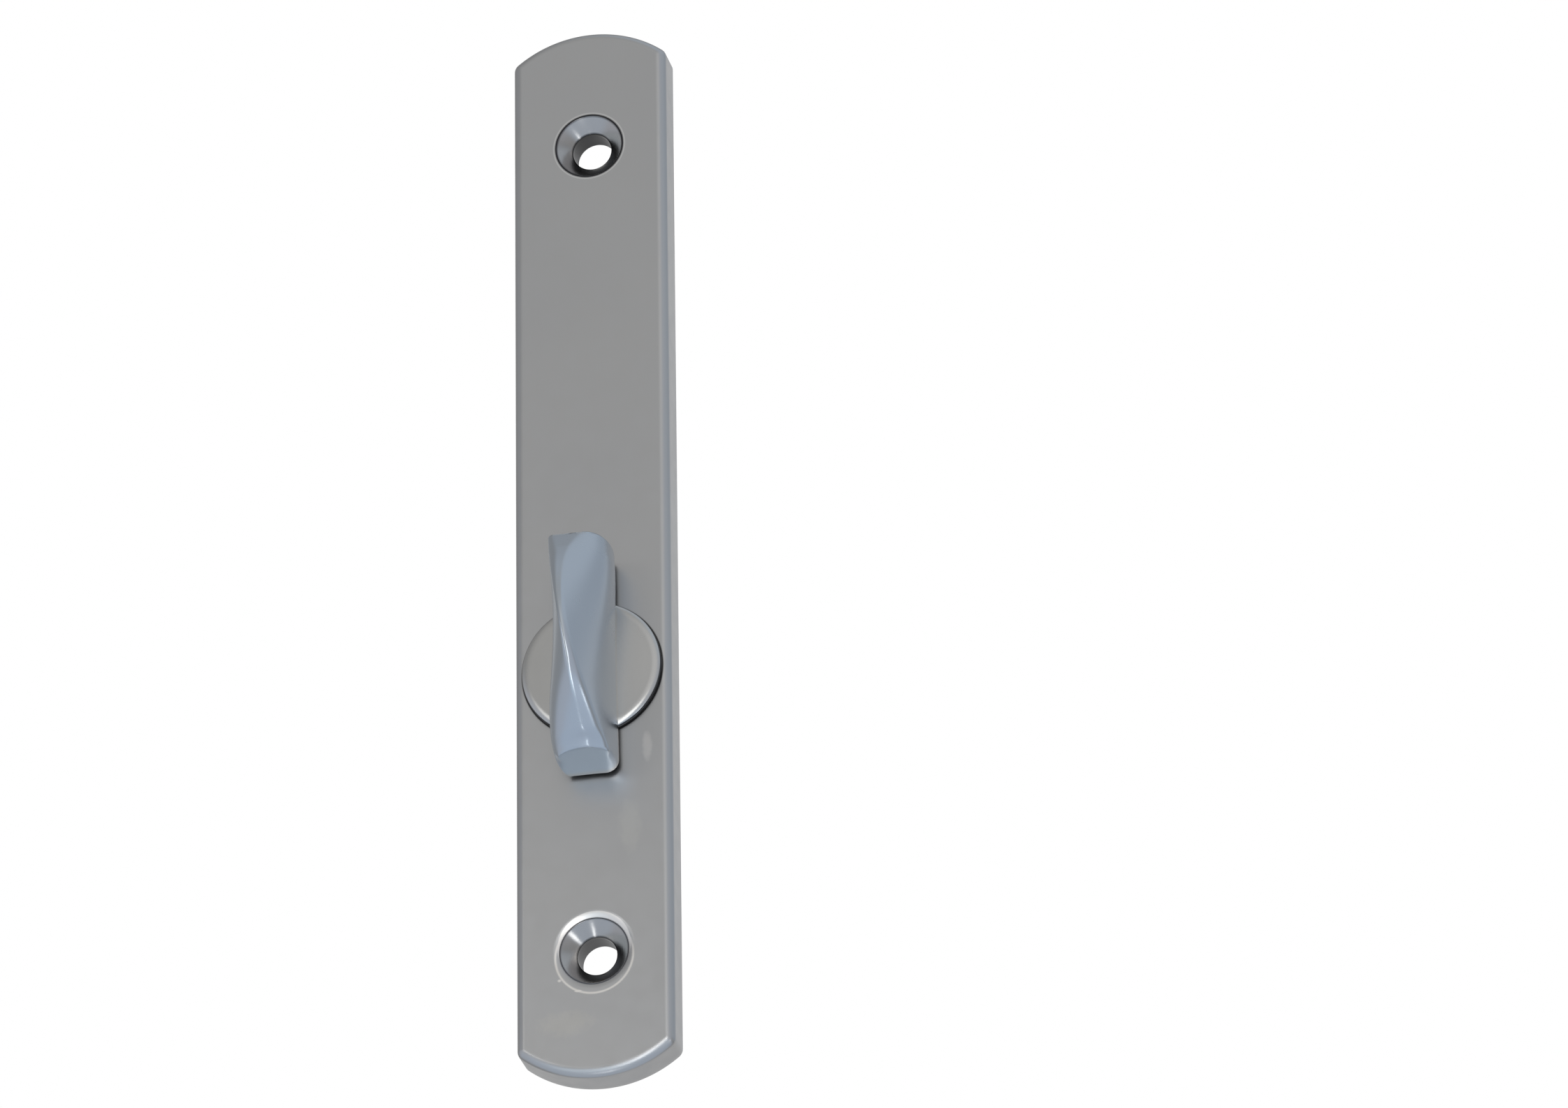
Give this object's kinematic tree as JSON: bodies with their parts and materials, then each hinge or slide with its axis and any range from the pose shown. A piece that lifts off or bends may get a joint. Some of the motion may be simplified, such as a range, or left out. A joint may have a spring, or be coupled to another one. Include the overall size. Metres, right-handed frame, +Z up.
{
  "type": "thumb turn door plate",
  "caption": "Long satin nickel door plate with countersunk screw holes and a twisted thumb turn on a round foot, with its square spindle.",
  "frame": {"origin": "on the turn's axis, in the plate's back plane, which meets the door", "axes": "+Z up along the plate, -Y out of the front face, +Y into the door along the spindle"},
  "size_m": [0.028, 0.0697, 0.202],
  "materials": {
    "cast_plate": "satin nickel plate on die-cast zinc",
    "cast_turn": "satin nickel plate on die-cast zinc",
    "steel": "zinc-plated steel",
    "spring_steel": "phosphated spring steel"
  },
  "bodies": {
    "plate": {"face_plate": "cast_plate", "curved_washer": "spring_steel"},
    "turn": {"thumb_turn": "cast_turn", "spindle": "steel", "spindle_pin": "steel", "flat_washer": "steel", "retaining_ring": "spring_steel"}
  },
  "joints": [
    {"name": "turn_rotation", "type": "hinge", "parent": "plate", "child": "turn", "pos_m": [0, 0, 0], "axis": [0, 1, 0], "range_deg": [0, 90]}
  ]
}
